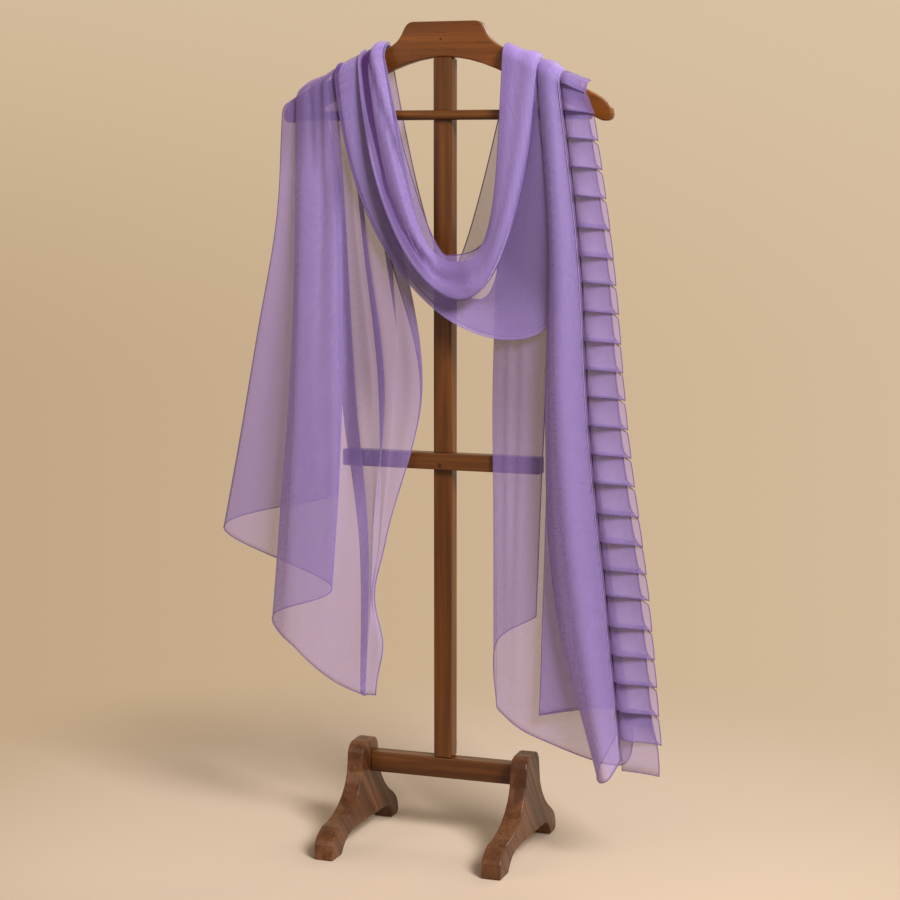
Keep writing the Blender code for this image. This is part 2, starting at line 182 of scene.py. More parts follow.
shape = bmesh.new()
bmesh.ops.create_circle(shape, cap_ends=True, segments=96, radius=FLOOR_RADIUS)
bmesh.ops.translate(shape, verts=shape.verts, vec=(0.0, 0.0, FLOOR_DROP))
mesh = bpy.data.meshes.new("floor")
shape.to_mesh(mesh)
shape.free()
floor = bpy.data.objects.new("floor", mesh)
bpy.context.scene.collection.objects.link(floor)
floor_paint = bpy.data.materials.new("floor paint")
floor_paint.use_nodes = True
tree = floor_paint.node_tree
paint = tree.nodes["Principled BSDF"]
paint.inputs["Base Color"].default_value = FLOOR_COLOUR
paint.inputs["Roughness"].default_value = 0.9
paint.inputs["Specular IOR Level"].default_value = 0.1
place = tree.nodes.new("ShaderNodeTexCoord")
from_middle = tree.nodes.new("ShaderNodeVectorMath")
from_middle.operation = "LENGTH"
tree.links.new(place.outputs["Object"], from_middle.inputs[0])
fade = ranged(tree, from_middle.outputs["Value"], FLOOR_SOLID_TO, FLOOR_GONE_FROM, 1.0, 0.0, "SMOOTHSTEP")
tree.links.new(fade, paint.inputs["Alpha"])
mesh.materials.append(floor_paint)

# ---------------------------------------------------------------- the wooden stand
# Stained hardwood: post, bars and hanger board with long straight grain, feet sawn from plank. It has a thin
# satin varnish, so the colour varies in streaks and the pores show as fine dark dashes along the grain.

WOOD_DARK = (0.020, 0.005, 0.001, 1.0)


def add_sockets(group, direction, kinds):
    """Gives a node group its named inputs or outputs."""
    for label, kind in kinds:
        group.interface.new_socket(name=label, in_out=direction, socket_type="NodeSocket" + kind)


def streaks(tree, place, stretch, scale, detail, bend=0.0):
    """Noise drawn out along the axes whose stretch is small."""
    mapping = tree.nodes.new("ShaderNodeMapping")
    mapping.inputs["Scale"].default_value = stretch
    tree.links.new(place, mapping.inputs["Vector"])
    found = tree.nodes.new("ShaderNodeTexNoise")
    found.inputs["Scale"].default_value = scale
    found.inputs["Detail"].default_value = detail
    found.inputs["Distortion"].default_value = bend
    tree.links.new(mapping.outputs["Vector"], found.inputs["Vector"])
    return found.outputs["Fac"]


def grain_group():
    """Node group: colour, roughness and height of stained wood whose grain runs along Z."""
    group = bpy.data.node_groups.new("stained wood grain", "ShaderNodeTree")
    colours = [(label, "Color") for label in ("Dark", "Middle", "Light")]
    add_sockets(group, "INPUT", [("Place", "Vector"), *colours, ("Figure", "Float")])
    add_sockets(group, "OUTPUT", [("Colour", "Color"), ("Roughness", "Float"), ("Height", "Float")])
    given = group.nodes.new("NodeGroupInput").outputs
    made = group.nodes.new("NodeGroupOutput").inputs
    broad = ranged(group, streaks(group, given["Place"], (1.0, 1.0, 0.06), 26.0, 3.0, 0.8), 0.36, 0.66)
    fine = ranged(group, streaks(group, given["Place"], (1.0, 1.0, 0.03), 210.0, 4.0, 0.3), 0.40, 0.72)
    pores = ranged(group, streaks(group, given["Place"], (1.0, 1.0, 0.045), 900.0, 1.0), 0.66, 0.74)
    body = blended(group, broad, given["Middle"], given["Light"])
    lined = blended(group, maths(group, "MULTIPLY", fine, given["Figure"]), body, given["Dark"])
    pitted = blended(group, maths(group, "MULTIPLY", pores, 0.6), lined, given["Dark"])
    group.links.new(pitted, made["Colour"])
    group.links.new(ranged(group, fine, 0.0, 1.0, 0.34, 0.50), made["Roughness"])
    group.links.new(ranged(group, pores, 0.0, 1.0, 1.0, 0.0), made["Height"])
    return group


GRAIN = grain_group()


def stained_wood(name, turn, middle, light, figure):
    """Varnished wood whose grain is turned from Z by these angles in degrees."""
    made = bpy.data.materials.new(name)
    made.use_nodes = True
    tree = made.node_tree
    shader = tree.nodes["Principled BSDF"]
    shader.inputs["Coat Weight"].default_value = 0.18
    shader.inputs["Specular IOR Level"].default_value = 0.20
    shader.inputs["Coat Roughness"].default_value = 0.20
    place = tree.nodes.new("ShaderNodeTexCoord")
    turned = tree.nodes.new("ShaderNodeMapping")
    turned.inputs["Rotation"].default_value = [math.radians(angle) for angle in turn]
    tree.links.new(place.outputs["Object"], turned.inputs["Vector"])
    wood = tree.nodes.new("ShaderNodeGroup")
    wood.node_tree = GRAIN
    tree.links.new(turned.outputs["Vector"], wood.inputs["Place"])
    wood.inputs["Dark"].default_value = WOOD_DARK
    wood.inputs["Middle"].default_value = middle
    wood.inputs["Light"].default_value = light
    wood.inputs["Figure"].default_value = figure
    marked = blended(tree, 0.0, wood.outputs["Colour"], WOOD_DARK)
    marked.node.name = "marked"
    tree.links.new(marked, shader.inputs["Base Color"])
    tree.links.new(wood.outputs["Roughness"], shader.inputs["Roughness"])
    dents = tree.nodes.new("ShaderNodeBump")
    dents.inputs["Strength"].default_value = 0.25
    dents.inputs["Distance"].default_value = 0.0003
    tree.links.new(wood.outputs["Height"], dents.inputs["Height"])
    tree.links.new(dents.outputs["Normal"], shader.inputs["Normal"])
    return made


def mark_wood(material, place, radius):
    """A small dark round mark at a place on the wood: a plugged screw hole or a knot."""
    tree = material.node_tree
    here = tree.nodes.new("ShaderNodeTexCoord")
    flat = tree.nodes.new("ShaderNodeVectorMath")
    flat.operation = "MULTIPLY"
    flat.inputs[1].default_value = (1.0, 0.0, 1.0)
    tree.links.new(here.outputs["Object"], flat.inputs[0])
    away = tree.nodes.new("ShaderNodeVectorMath")
    away.operation = "DISTANCE"
    away.inputs[1].default_value = (place.x, 0.0, place.z)
    tree.links.new(flat.outputs["Vector"], away.inputs[0])
    spot = ranged(tree, away.outputs["Value"], radius * 0.6, radius * 1.4, 0.85, 0.0, "SMOOTHSTEP")
    tree.links.new(spot, tree.nodes["marked"].inputs["Factor"])


POST_MIDDLE, POST_LIGHT = (0.064, 0.018, 0.0032, 1.0), (0.165, 0.051, 0.008, 1.0)
BAR_MIDDLE, BAR_LIGHT = (0.055, 0.016, 0.0035, 1.0), (0.138, 0.044, 0.008, 1.0)
BOARD_MIDDLE, BOARD_LIGHT = (0.110, 0.030, 0.004, 1.0), (0.205, 0.060, 0.008, 1.0)
FOOT_MIDDLE, FOOT_LIGHT = (0.060, 0.019, 0.006, 1.0), (0.140, 0.053, 0.018, 1.0)
SCREW_PLUG, PLUG_RADIUS = Vector((-0.004, 0.0, 1.108)), 0.0016
BAR_KNOT, KNOT_RADIUS = Vector((0.0, 0.0, 0.532)), 0.0030

post_wood = stained_wood("wood, upright post", (0, 0, 0), POST_MIDDLE, POST_LIGHT, 0.50)
bar_wood = stained_wood("wood, level bars", (0, 90, 0), BAR_MIDDLE, BAR_LIGHT, 0.50)
board_wood = stained_wood("wood, hanger board", (0, 90, 0), BOARD_MIDDLE, BOARD_LIGHT, 0.30)
foot_wood = stained_wood("wood, sawn feet", (-38, 0, 0), FOOT_MIDDLE, FOOT_LIGHT, 0.60)
mark_wood(board_wood, AXIS + SCREW_PLUG, PLUG_RADIUS)
mark_wood(bar_wood, AXIS + BAR_KNOT, KNOT_RADIUS)
for node, wood in (
    ("foot_left", foot_wood),
    ("foot_right", foot_wood),
    ("base_bar", bar_wood),
    ("post", post_wood),
    ("trouser_bar", bar_wood),
    ("upper_rod", bar_wood),
    ("hanger_board", board_wood),
):
    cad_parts[node].material_slots[0].material = wood

# ---------------------------------------------------------------- the left end
# The organza's left end falls from the crest of the left wing to a slanting rolled hem. Half of it is folded
# behind the other half, and a round fold runs down its middle. Organza is a sheer plain weave of fine yarns.

LILAC_DEEP = (0.315, 0.208, 0.490, 1.0)
LILAC_PALE = (0.385, 0.268, 0.580, 1.0)
# Painted shade: the dye is mixed towards this plum where the cloth should lie in shade.
PAINTED_SHADE_PLUM = (0.085, 0.026, 0.135, 1.0)
YARNS_A_METRE = 1500.0
SINGLE_COVER = 0.25
# Where the cloth is gathered its yarns lie closer, so it hides more. In the hollows between the folds the
# lilac is mixed towards plum, as painted shade. Two attributes of the cloth say where, and both are given.
GATHERED_COVER = 0.24
SLUB_COVER = 0.06


def threads_group():
    """Node group: the crossing yarns of organza, read from a UV map in metres."""
    group = bpy.data.node_groups.new("organza threads", "ShaderNodeTree")
    add_sockets(group, "INPUT", [("Place", "Vector"), ("Yarns a Metre", "Float")])
    add_sockets(group, "OUTPUT", [("Slubs", "Float"), ("Height", "Float")])
    given = group.nodes.new("NodeGroupInput").outputs
    made = group.nodes.new("NodeGroupOutput").inputs
    parts = group.nodes.new("ShaderNodeSeparateXYZ")
    group.links.new(given["Place"], parts.inputs["Vector"])
    turns = maths(group, "MULTIPLY", given["Yarns a Metre"], 2 * math.pi)
    warp = maths(group, "SINE", maths(group, "MULTIPLY", parts.outputs["X"], turns))
    weft = maths(group, "SINE", maths(group, "MULTIPLY", parts.outputs["Y"], turns))
    group.links.new(maths(group, "ADD", warp, weft), made["Height"])
    across = streaks(group, given["Place"], (1.0, 0.05, 1.0), 260.0, 5.0)
    along = streaks(group, given["Place"], (0.05, 1.0, 1.0), 240.0, 5.0)
    both = maths(group, "MULTIPLY", maths(group, "ADD", across, along), 0.5)
    cloud = maths(group, "ADD", both, streaks(group, given["Place"], (1.0, 1.0, 1.0), 170.0, 5.0))
    group.links.new(maths(group, "MULTIPLY", cloud, 0.5), made["Slubs"])
    return group


THREADS = threads_group()


def attribute(tree, name):
    """A number that the mesh holds at each of its points."""
    node = tree.nodes.new("ShaderNodeAttribute")
    node.attribute_name = name
    return node.outputs["Fac"]


def sheer_cloth(name, deep, pale, cover):
    """Organza: see-through between its yarns, and closer the more it is seen edge on."""
    made = bpy.data.materials.new(name)
    made.use_nodes = True
    tree = made.node_tree
    shader = tree.nodes["Principled BSDF"]
    shader.inputs["Roughness"].default_value = 0.55
    shader.inputs["Specular IOR Level"].default_value = 0.25
    shader.inputs["Sheen Weight"].default_value = 0.40
    shader.inputs["Sheen Roughness"].default_value = 0.30
    shader.inputs["Sheen Tint"].default_value = (0.85, 0.75, 1.0, 1.0)
    place = tree.nodes.new("ShaderNodeUVMap")
    place.uv_map = "cloth"
    threads = tree.nodes.new("ShaderNodeGroup")
    threads.node_tree = THREADS
    threads.inputs["Yarns a Metre"].default_value = YARNS_A_METRE
    tree.links.new(place.outputs["UV"], threads.inputs["Place"])
    slubs = ranged(tree, threads.outputs["Slubs"], 0.34, 0.66)
    dye = blended(tree, slubs, deep, pale)
    # Painted shade: the hollow attribute mixes the dye towards plum.
    tree.links.new(blended(tree, attribute(tree, "hollow"), dye, PAINTED_SHADE_PLUM), shader.inputs["Base Color"])
    weave = tree.nodes.new("ShaderNodeBump")
    weave.inputs["Strength"].default_value = 0.05
    weave.inputs["Distance"].default_value = 0.0001
    tree.links.new(threads.outputs["Height"], weave.inputs["Height"])
    tree.links.new(weave.outputs["Normal"], shader.inputs["Normal"])
    turn = tree.nodes.new("ShaderNodeLayerWeight")
    turn.inputs["Blend"].default_value = 0.5
    facing = maths(tree, "MAXIMUM", maths(tree, "SUBTRACT", 1.0, turn.outputs["Facing"]), 0.30)
    crowded = maths(tree, "MULTIPLY", attribute(tree, "gathered"), GATHERED_COVER)
    closed = maths(tree, "ADD", crowded, maths(tree, "MULTIPLY", slubs, SLUB_COVER))
    open_share = maths(tree, "SUBTRACT", 1.0 - cover, closed)
    seen_through = maths(tree, "POWER", open_share, maths(tree, "DIVIDE", 1.0, facing))
    tree.links.new(maths(tree, "SUBTRACT", 1.0, seen_through), shader.inputs["Alpha"])
    return made


HEM_DEEP, HEM_PALE, HEM_COVER = (0.170, 0.085, 0.230, 1.0), (0.230, 0.130, 0.300, 1.0), 0.70

ORGANZA = sheer_cloth("organza", LILAC_DEEP, LILAC_PALE, SINGLE_COVER)
ROLLED_HEM = sheer_cloth("organza, rolled", HEM_DEEP, HEM_PALE, HEM_COVER)

CLOTH_WALL = 0.0002
HEM_RADIUS = 0.0007
CREST_STEPS = 8
FOLD_STEPS = 12
# A wing's upper edge slopes down from its start beside the post, and its tip is rounded off.
WING_START = (0.082, 1.0965)
WING_SLOPE = 0.48374
TIP_FROM, TIP_LENGTH, TIP_DROP = 0.205, 0.0308, 0.0147
# Over a crest the cloth reaches out to the front or the back, and drops on its way there.
FRONT_REACH, FRONT_DROP = 0.0225, 0.020
BACK_REACH, BACK_DROP = 0.0110, 0.008
CREST_CLEARANCE = 0.0045
CREST_HALF_GAP = 0.00015


def through(values, share):
    """A smooth curve through evenly spaced values, read at a share from 0 to 1."""
    place_on = share * (len(values) - 1)
    first = min(int(place_on), len(values) - 2)
    t = place_on - first
    a, b = values[first], values[first + 1]
    before = values[first - 1] if first > 0 else 2 * a - b
    after = values[first + 2] if first + 2 < len(values) else 2 * b - a
    pull_a, pull_b = (b - before) / 2, (after - a) / 2
    return (
        (2 * t**3 - 3 * t**2 + 1) * a
        + (t**3 - 2 * t**2 + t) * pull_a
        + (3 * t**2 - 2 * t**3) * b
        + (t**3 - t**2) * pull_b
    )


def across_folds(row):
    """Points across the cloth at one height, smoothly through a row of fold points."""
    count = (len(row) - 1) * FOLD_STEPS
    curves = [[through(column, step / count) for step in range(count + 1)] for column in zip(*row)]
    return [Vector(point) for point in zip(*curves)]


def wing_top(x):
    """Height of the hanger board's upper edge on its sloping wings."""
    height = WING_START[1] - WING_SLOPE * (abs(x) - WING_START[0])
    beyond = (abs(x) - TIP_FROM) / TIP_LENGTH
    if beyond > 0:
        height -= TIP_DROP * (1 - math.sqrt(max(0.0, 1 - beyond**2)))
    return height


def crest_line(x, lift, side):
    """One fold line over a wing's crest, from its middle to where it hangs free. Side is -1 at the front."""
    reach, drop = (FRONT_REACH, FRONT_DROP) if side < 0 else (BACK_REACH, BACK_DROP)
    top = wing_top(x) + CREST_CLEARANCE + lift
    line = []
    for step in range(CREST_STEPS + 1):
        angle = math.radians(90) * step / CREST_STEPS
        y = side * (CREST_HALF_GAP + (reach + lift) * math.sin(angle))
        line.append((x, y, top - drop * (1 - math.cos(angle))))
    return line


EndFold = namedtuple("EndFold", "name lift x_top x_upper x_middle x_lower x_hem y_middle y_hem z_hem")


def hanging_end(folds, share):
    """The fold points of a hanging end at a share of the way from the crest to the hem."""
    row = []
    for fold in folds:
        x_top, y_top, z_top = crest_line(fold.x_top, fold.lift, -1)[-1]
        x = through((x_top, fold.x_upper, fold.x_middle, fold.x_lower, fold.x_hem), share)
        y = through((y_top, fold.y_middle, fold.y_hem), share)
        row.append((x, y, z_top + (fold.z_hem - z_top) * share))
    return row


def end_rows(folds, steps):
    """Rows of points down a hanging end: over its crest, then in this many steps to its hem."""
    crests = zip(*(crest_line(fold.x_top, fold.lift, -1)[:-1] for fold in folds))
    falls = [hanging_end(folds, step / steps) for step in range(steps + 1)]
    return [across_folds(row) for row in [*crests, *falls]]


# A crease is a soft ridge (height above 0) or trough along the cloth. It starts at the fold-line count
# "across_from" and the share "along_from" of the cloth's length, and runs to "across_to" and "along_to".
Crease = namedtuple("Crease", "name across_from along_from across_to along_to height width")
CREASE_FADE = 0.25


def smooth(value):
    """A soft step from 0 to 1, flat outside them."""
    value = min(max(value, 0.0), 1.0)
    return value * value * (3 - 2 * value)


def crease_lift(crease, across, along, spans):
    """How far a crease lifts the cloth at a column and a share of the length."""
    run = (along - crease.along_from) / (crease.along_to - crease.along_from)
    if not -CREASE_FADE < run < 1 + CREASE_FADE:
        return 0.0
    middle = crease.across_from + (crease.across_to - crease.across_from) * min(max(run, 0.0), 1.0)
    column = min(max(middle * FOLD_STEPS, 0.0), len(spans) - 1.001)
    low = int(column)
    centre = spans[low] + (spans[low + 1] - spans[low]) * (column - low)
    off = (spans[across] - centre) / crease.width
    if abs(off) > 3:
        return 0.0
    begun = smooth((run + CREASE_FADE) / (2 * CREASE_FADE))
    left = smooth((1 + CREASE_FADE - run) / (2 * CREASE_FADE))
    return crease.height * begun * left * math.exp(-off * off)


WAVES_ACROSS, WAVES_DOWN, WAVE_DRAW = 30, 4, 3.7
WAVER_FROM, WAVER_SOFT = 0.06, 0.1


def press_creases(rows, creases, side, waver=0.0005):
    """Moves the rows of a cloth along their own normals by its creases and by a slight waver."""
    across_count, along_count = len(rows[0]), len(rows)
    lifted = []
    for down, row in enumerate(rows):
        spans = [0.0]
        for a, b in zip(row, row[1:]):
            spans.append(spans[-1] + (b - a).length)
        along = down / (along_count - 1)
        new_row = []
        for i, point in enumerate(row):
            right = row[min(i + 1, across_count - 1)] - row[max(i - 1, 0)]
            below = rows[min(down + 1, along_count - 1)][i] - rows[max(down - 1, 0)][i]
            normal = below.cross(right) * -side
            lift = sum(crease_lift(crease, i, along, spans) for crease in creases)
            ripple = noise.noise(Vector((spans[i] * WAVES_ACROSS, point.z * WAVES_DOWN, WAVE_DRAW * side)))
            lift += waver * ripple * smooth((along - WAVER_FROM) / WAVER_SOFT)
            if normal.length > 1e-12:
                point = point + normal.normalized() * lift
            new_row.append(point)
        lifted.append(new_row)
    return lifted


def lay_cloth(name, rows, side, node, cover_and_painted_shade=None):
    """A thin sheer shell through the rows, standing for its CAD node. The last argument gives gathered and
    hollow, the painted shade.
    """
    shape = bmesh.new()
    gathered = shape.verts.layers.float.new("gathered")
    # The hollow attribute holds painted shade.
    hollow = shape.verts.layers.float.new("hollow")
    grid = [[shape.verts.new(point) for point in row] for row in rows]
    uv = shape.loops.layers.uv.new("cloth")
    spans = {}
    for down, row in enumerate(grid):
        length = 0.0
        for i, corner in enumerate(row):
            length += (corner.co - row[i - 1].co).length if i else 0.0
            fall = spans[grid[down - 1][i]][1] + (corner.co - grid[down - 1][i].co).length if down else 0.0
            spans[corner] = (length, fall)
            if cover_and_painted_shade:
                corner[gathered], corner[hollow] = cover_and_painted_shade(i / FOLD_STEPS, down / (len(rows) - 1))
    bmesh.ops.translate(shape, verts=shape.verts, vec=AXIS)
    for upper, lower in zip(grid, grid[1:]):
        for i in range(len(upper) - 1):
            corners = (upper[i], lower[i], lower[i + 1], upper[i + 1])
            face = shape.faces.new(corners if side < 0 else corners[::-1])
            face.smooth = True
            for loop in face.loops:
                loop[uv].uv = spans[loop.vert]
    mesh = bpy.data.meshes.new(name)
    shape.to_mesh(mesh)
    shape.free()
    mesh.materials.append(ORGANZA)
    piece = bpy.data.objects.new(name, mesh)
    bpy.context.scene.collection.objects.link(piece)
    wall = piece.modifiers.new("cloth wall", "SOLIDIFY")
    wall.thickness = CLOTH_WALL
    wall.offset = 0.0
    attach(piece, "root")
    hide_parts(node)
    return piece


def roll_hems(name, lines, radius=HEM_RADIUS, look=ROLLED_HEM):
    """Thin rolled hems along these lines of points."""
    data = bpy.data.curves.new(name, "CURVE")
    data.dimensions = "3D"
    data.bevel_depth = radius
    data.bevel_resolution = 1
    data.use_fill_caps = True
    for line in lines:
        spline = data.splines.new("POLY")
        spline.points.add(len(line) - 1)
        for point, place in zip(spline.points, line):
            point.co = (*(place + AXIS), 1.0)
    drawn = bpy.data.objects.new(name, data)
    bpy.context.scene.collection.objects.link(drawn)
    bpy.context.view_layer.update()
    mesh = bpy.data.meshes.new_from_object(drawn.evaluated_get(bpy.context.evaluated_depsgraph_get()))
    bpy.data.objects.remove(drawn)
    bpy.data.curves.remove(data)
    mesh.name = name
    mesh.uv_layers.new(name="cloth")
    mesh.materials.clear()
    mesh.materials.append(look)
    mesh.shade_smooth()
    piece = bpy.data.objects.new(name, mesh)
    bpy.context.scene.collection.objects.link(piece)
    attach(piece, "root")
    return piece


def side_of(rows, column):
    """The points of one column, down all the rows."""
    return [row[column] for row in rows]


LEFT_FOLDS = (
    EndFold("back edge", 0.0010, -0.172, -0.142, -0.137, -0.142, -0.146, -0.030, -0.036, 0.486),
    EndFold("outer fold", 0.0030, -0.2300, -0.2370, -0.262, -0.288, -0.316, -0.040, -0.048, 0.433),
    EndFold("inner fold", 0.0036, -0.160, -0.138, -0.131, -0.134, -0.146, -0.051, -0.062, 0.362),
    EndFold("tube left", 0.0056, -0.206, -0.201, -0.202, -0.212, -0.223, -0.062, -0.086, 0.321),
    EndFold("tube front", 0.0066, -0.178, -0.168, -0.164, -0.167, -0.180, -0.084, -0.106, 0.280),
    EndFold("tube right", 0.0062, -0.150, -0.1314, -0.1216, -0.1147, -0.1368, -0.066, -0.086, 0.236),
    EndFold("side turn", 0.0056, -0.149, -0.1280, -0.1094, -0.0882, -0.0934, -0.058, -0.072, 0.214),
    EndFold("behind the side", 0.0050, -0.157, -0.1477, -0.1401, -0.1091, -0.1027, -0.036, -0.062, 0.2145),
    EndFold("side rise", 0.0052, -0.138, -0.1250, -0.1021, -0.0896, -0.0951, -0.038, -0.064, 0.213),
    EndFold("first dart front", 0.0050, -0.126, -0.1030, -0.0732, -0.0885, -0.0925, -0.042, -0.061, 0.2125),
    EndFold("first dart back", 0.0046, -0.132, -0.1105, -0.0850, -0.0815, -0.0900, -0.035, -0.060, 0.2125),
    EndFold("middle rise", 0.0046, -0.111, -0.0934, -0.0656, -0.0780, -0.0885, -0.036, -0.059, 0.212),
    EndFold("second dart front", 0.0044, -0.097, -0.0709, -0.0590, -0.0760, -0.0871, -0.0345, -0.057, 0.2115),
    EndFold("second dart back", 0.0040, -0.108, -0.0822, -0.0500, -0.0742, -0.0856, -0.0330, -0.056, 0.2115),
    EndFold("inner contour", 0.0042, -0.110, -0.0589, -0.0244, -0.0718, -0.0830, -0.030, -0.054, 0.211),
    EndFold("turned edge", 0.0026, -0.128, -0.0808, -0.0266, -0.0743, -0.0851, -0.026, -0.051, 0.211),
)
LEFT_CREASES = (
    Crease("tube crown", 3.6, 0.05, 3.7, 0.96, 0.0060, 0.014),
    Crease("beside the crown", 4.3, 0.08, 4.2, 0.55, -0.0030, 0.006),
    Crease("tube shoulder", 4.6, 0.10, 4.6, 0.90, 0.0045, 0.008),
    Crease("left of the top pinch", 3.75, 0.05, 3.9, 0.19, -0.0035, 0.004),
    Crease("right of the top pinch", 4.45, 0.05, 4.35, 0.21, 0.0035, 0.005),
    Crease("between the darts", 10.6, 0.20, 10.6, 0.60, 0.0020, 0.008),
    Crease("light beside the turn", 7.6, 0.22, 7.7, 0.62, 0.0030, 0.007),
    Crease("near the contour", 13.5, 0.42, 13.5, 0.70, 0.0030, 0.010),
    Crease("outer drape", 1.6, 0.15, 1.7, 0.92, 0.0040, 0.016),
    Crease("outer hollow", 1.3, 0.20, 1.3, 0.85, -0.0030, 0.012),
)
# From this column on the corner of the long edge moves. Each bulge gives a height, a distance and a spread.
FLARE_FROM = 9 * FOLD_STEPS
FLARE_SOFT = 2 * FOLD_STEPS
DRAWN_IN = (0.355, 0.009, 0.045)
TURNED_OUT = (0.280, 0.008, 0.036)


def bulge(z, height, distance, spread):
    """A sideways distance that is largest at one height and fades above and below it."""
    return distance * math.exp(-(((z - height) / spread) ** 2))


def flare_corner(rows):
    """Draws the corner of the long edge in a little above the hem and turns it out again below that."""
    for row in rows:
        for i, point in enumerate(row[FLARE_FROM:]):
            point.x += smooth(i / FLARE_SOFT) * (bulge(point.z, *TURNED_OUT) - bulge(point.z, *DRAWN_IN))


left_rows = end_rows(LEFT_FOLDS, steps=110)
flare_corner(left_rows)
left_rows = press_creases(left_rows, LEFT_CREASES, -1)


def within(value, low, high, soft):
    """1 between two numbers, falling to 0 over a soft distance outside them."""
    return smooth((value - low) / soft + 1) * smooth((high - value) / soft + 1)


# A shade closes a patch of the cloth, or darkens it with painted shade, by its amount. The patch is given in
# fold lines across and in shares of the length, with soft borders. A lean above 0 slants it towards the first
# fold lines further down.
Shade = namedtuple(
    "Shade",
    "name amount across_from across_to across_soft along_from along_to along_soft lean",
    defaults=(0.0,),
)


def strongest(shades, across, along):
    """The largest of the shades at a fold line and a share of the length."""
    return max(
        shade.amount
        * within(across + shade.lean * along, shade.across_from, shade.across_to, shade.across_soft)
        * within(along, shade.along_from, shade.along_to, shade.along_soft)
        for shade in shades
    )


# Painted shade: these patches close the cloth and tint it plum where shade falls behind the side turn and
# under the front swag.
LEFT_CLOSER_PAINTED_SHADE = (
    Shade("behind the side turn", 0.50, 7.6, 8.16, 0.30, 0.22, 0.50, 0.12),
    Shade("in the shade of the front swag", 0.40, 8.6, 15.0, 0.6, 0.16, 0.48, 0.20),
)
# Painted shade: plum on these patches as well, on the shoulder, beside the round fold, on the dart and low
# down.
LEFT_PAINTED_SHADES = LEFT_CLOSER_PAINTED_SHADE + (
    Shade("shoulder", 0.40, 1.0, 8.0, 0.6, 0.0, 0.10, 0.12),
    Shade("beside the round fold", 0.62, 5.2, 7.1, 0.35, 0.12, 0.62, 0.14),
    Shade("top of the round fold's side", 0.55, 4.8, 6.4, 0.4, 0.08, 0.22, 0.10),
    Shade("first dart", 0.45, 9.0, 10.2, 0.5, 0.20, 0.52, 0.12),
    Shade("low on the side turn", 0.25, 5.8, 7.0, 0.5, 0.62, 0.90, 0.10),
)


def left_cover_and_painted_shade(across, along):
    """How gathered the left end is at a fold line and a share of the length, and how much painted shade lies
    there.
    """
    return strongest(LEFT_CLOSER_PAINTED_SHADE, across, along), strongest(LEFT_PAINTED_SHADES, across, along)


left_end = lay_cloth("organza_left_end", left_rows, -1, "left_end", left_cover_and_painted_shade)
left_hem = roll_hems("hem_left_end", [side_of(left_rows, 0), left_rows[-1], side_of(left_rows, -1)])

# ---------------------------------------------------------------- the neck loop
# From the left wing the stole passes down behind the post and up to the right wing. Two soft folds run
# along it, and its lower edge lies flat behind the hanging left end.

SwagFold = namedtuple(
    "SwagFold",
    "name x_left lift_left lean_left y_left reach_left x_low y_low z_low"
    " reach_right y_right lean_right lift_right x_right",
)
SWAG_STEPS = 56


def bend_between(start, pull_a, pull_b, end, steps):
    """Points of a curve with two handles, without its last point."""
    points = []
    for step in range(steps):
        share = step / steps
        rest = 1 - share
        weights = (rest**3, 3 * rest**2 * share, 3 * rest * share**2, share**3)
        axes = zip(start, pull_a, pull_b, end)
        points.append(tuple(sum(weight * part for weight, part in zip(weights, axis)) for axis in axes))
    return points


def swag_line(fold, side):
    """One fold line of a swag, from the left crest down to its lowest point and up to the right crest."""
    low = (fold.x_low, fold.y_low, fold.z_low)
    halves = []
    for x, lift, lean, y, reach in (
        (fold.x_left, fold.lift_left, fold.lean_left, fold.y_left, -fold.reach_left),
        (fold.x_right, fold.lift_right, fold.lean_right, fold.y_right, fold.reach_right),
    ):
        crest = crest_line(x, lift, side)
        start = crest[-1]
        pull_a = (start[0] + lean, y, start[2] + (low[2] - start[2]) * 2 / 3)
        pull_b = (low[0] + reach, low[1], low[2])
        halves.append(crest[:-1] + bend_between(start, pull_a, pull_b, low, SWAG_STEPS))
    return halves[0] + [low] + halves[1][::-1]


def swag_rows(folds, side):
    """Rows of points along a swag, from its left crest to its right one."""
    return [across_folds(row) for row in zip(*(swag_line(fold, side) for fold in folds))]


NECK_FOLDS = (
    SwagFold("upper edge", -0.083, 0.0004, 0.029, 0.030, 0.024, -0.002, 0.034, 0.797,
             0.012, 0.030, -0.050, 0.0004, 0.092),
    SwagFold("upper fold", -0.100, 0.0030, 0.036, 0.034, 0.045, 0.000, 0.040, 0.768,
             0.045, 0.034, -0.028, 0.0012, 0.100),
    SwagFold("middle turn", -0.114, 0.0045, 0.032, 0.030, 0.050, 0.000, 0.035, 0.786,
             0.045, 0.030, -0.028, 0.0018, 0.107),
    SwagFold("lower fold", -0.128, 0.0050, 0.024, 0.027, 0.056, 0.002, 0.031, 0.762,
             0.060, 0.027, -0.022, 0.0024, 0.114),
    SwagFold("lower edge", -0.141, 0.0024, 0.014, 0.022, 0.060, 0.002, 0.026, 0.755,
             0.070, 0.022, -0.020, 0.0030, 0.120),
)
NECK_CREASES = (
    Crease("upper ridge", 0.6, 0.10, 0.7, 0.45, 0.0020, 0.006),
    Crease("middle trough", 2.4, 0.15, 2.5, 0.50, -0.0018, 0.008),
    Crease("lower ridge", 3.3, 0.12, 3.2, 0.44, 0.0022, 0.010),
    Crease("right ridge", 1.6, 0.58, 1.4, 0.90, 0.0018, 0.006),
)
neck_rows = press_creases(swag_rows(NECK_FOLDS, 1), NECK_CREASES, 1)
neck_loop = lay_cloth("organza_neck_loop", neck_rows, 1, "neck_loop")
neck_hem = roll_hems("hem_neck_loop", [side_of(neck_rows, 0), side_of(neck_rows, -1)])

# ---------------------------------------------------------------- the front swag
# The stole's middle hangs in a deep curve across the front of the post. Its long folds crowd together on the
# left wing, open out at the bottom of the curve and run together again on the right wing.

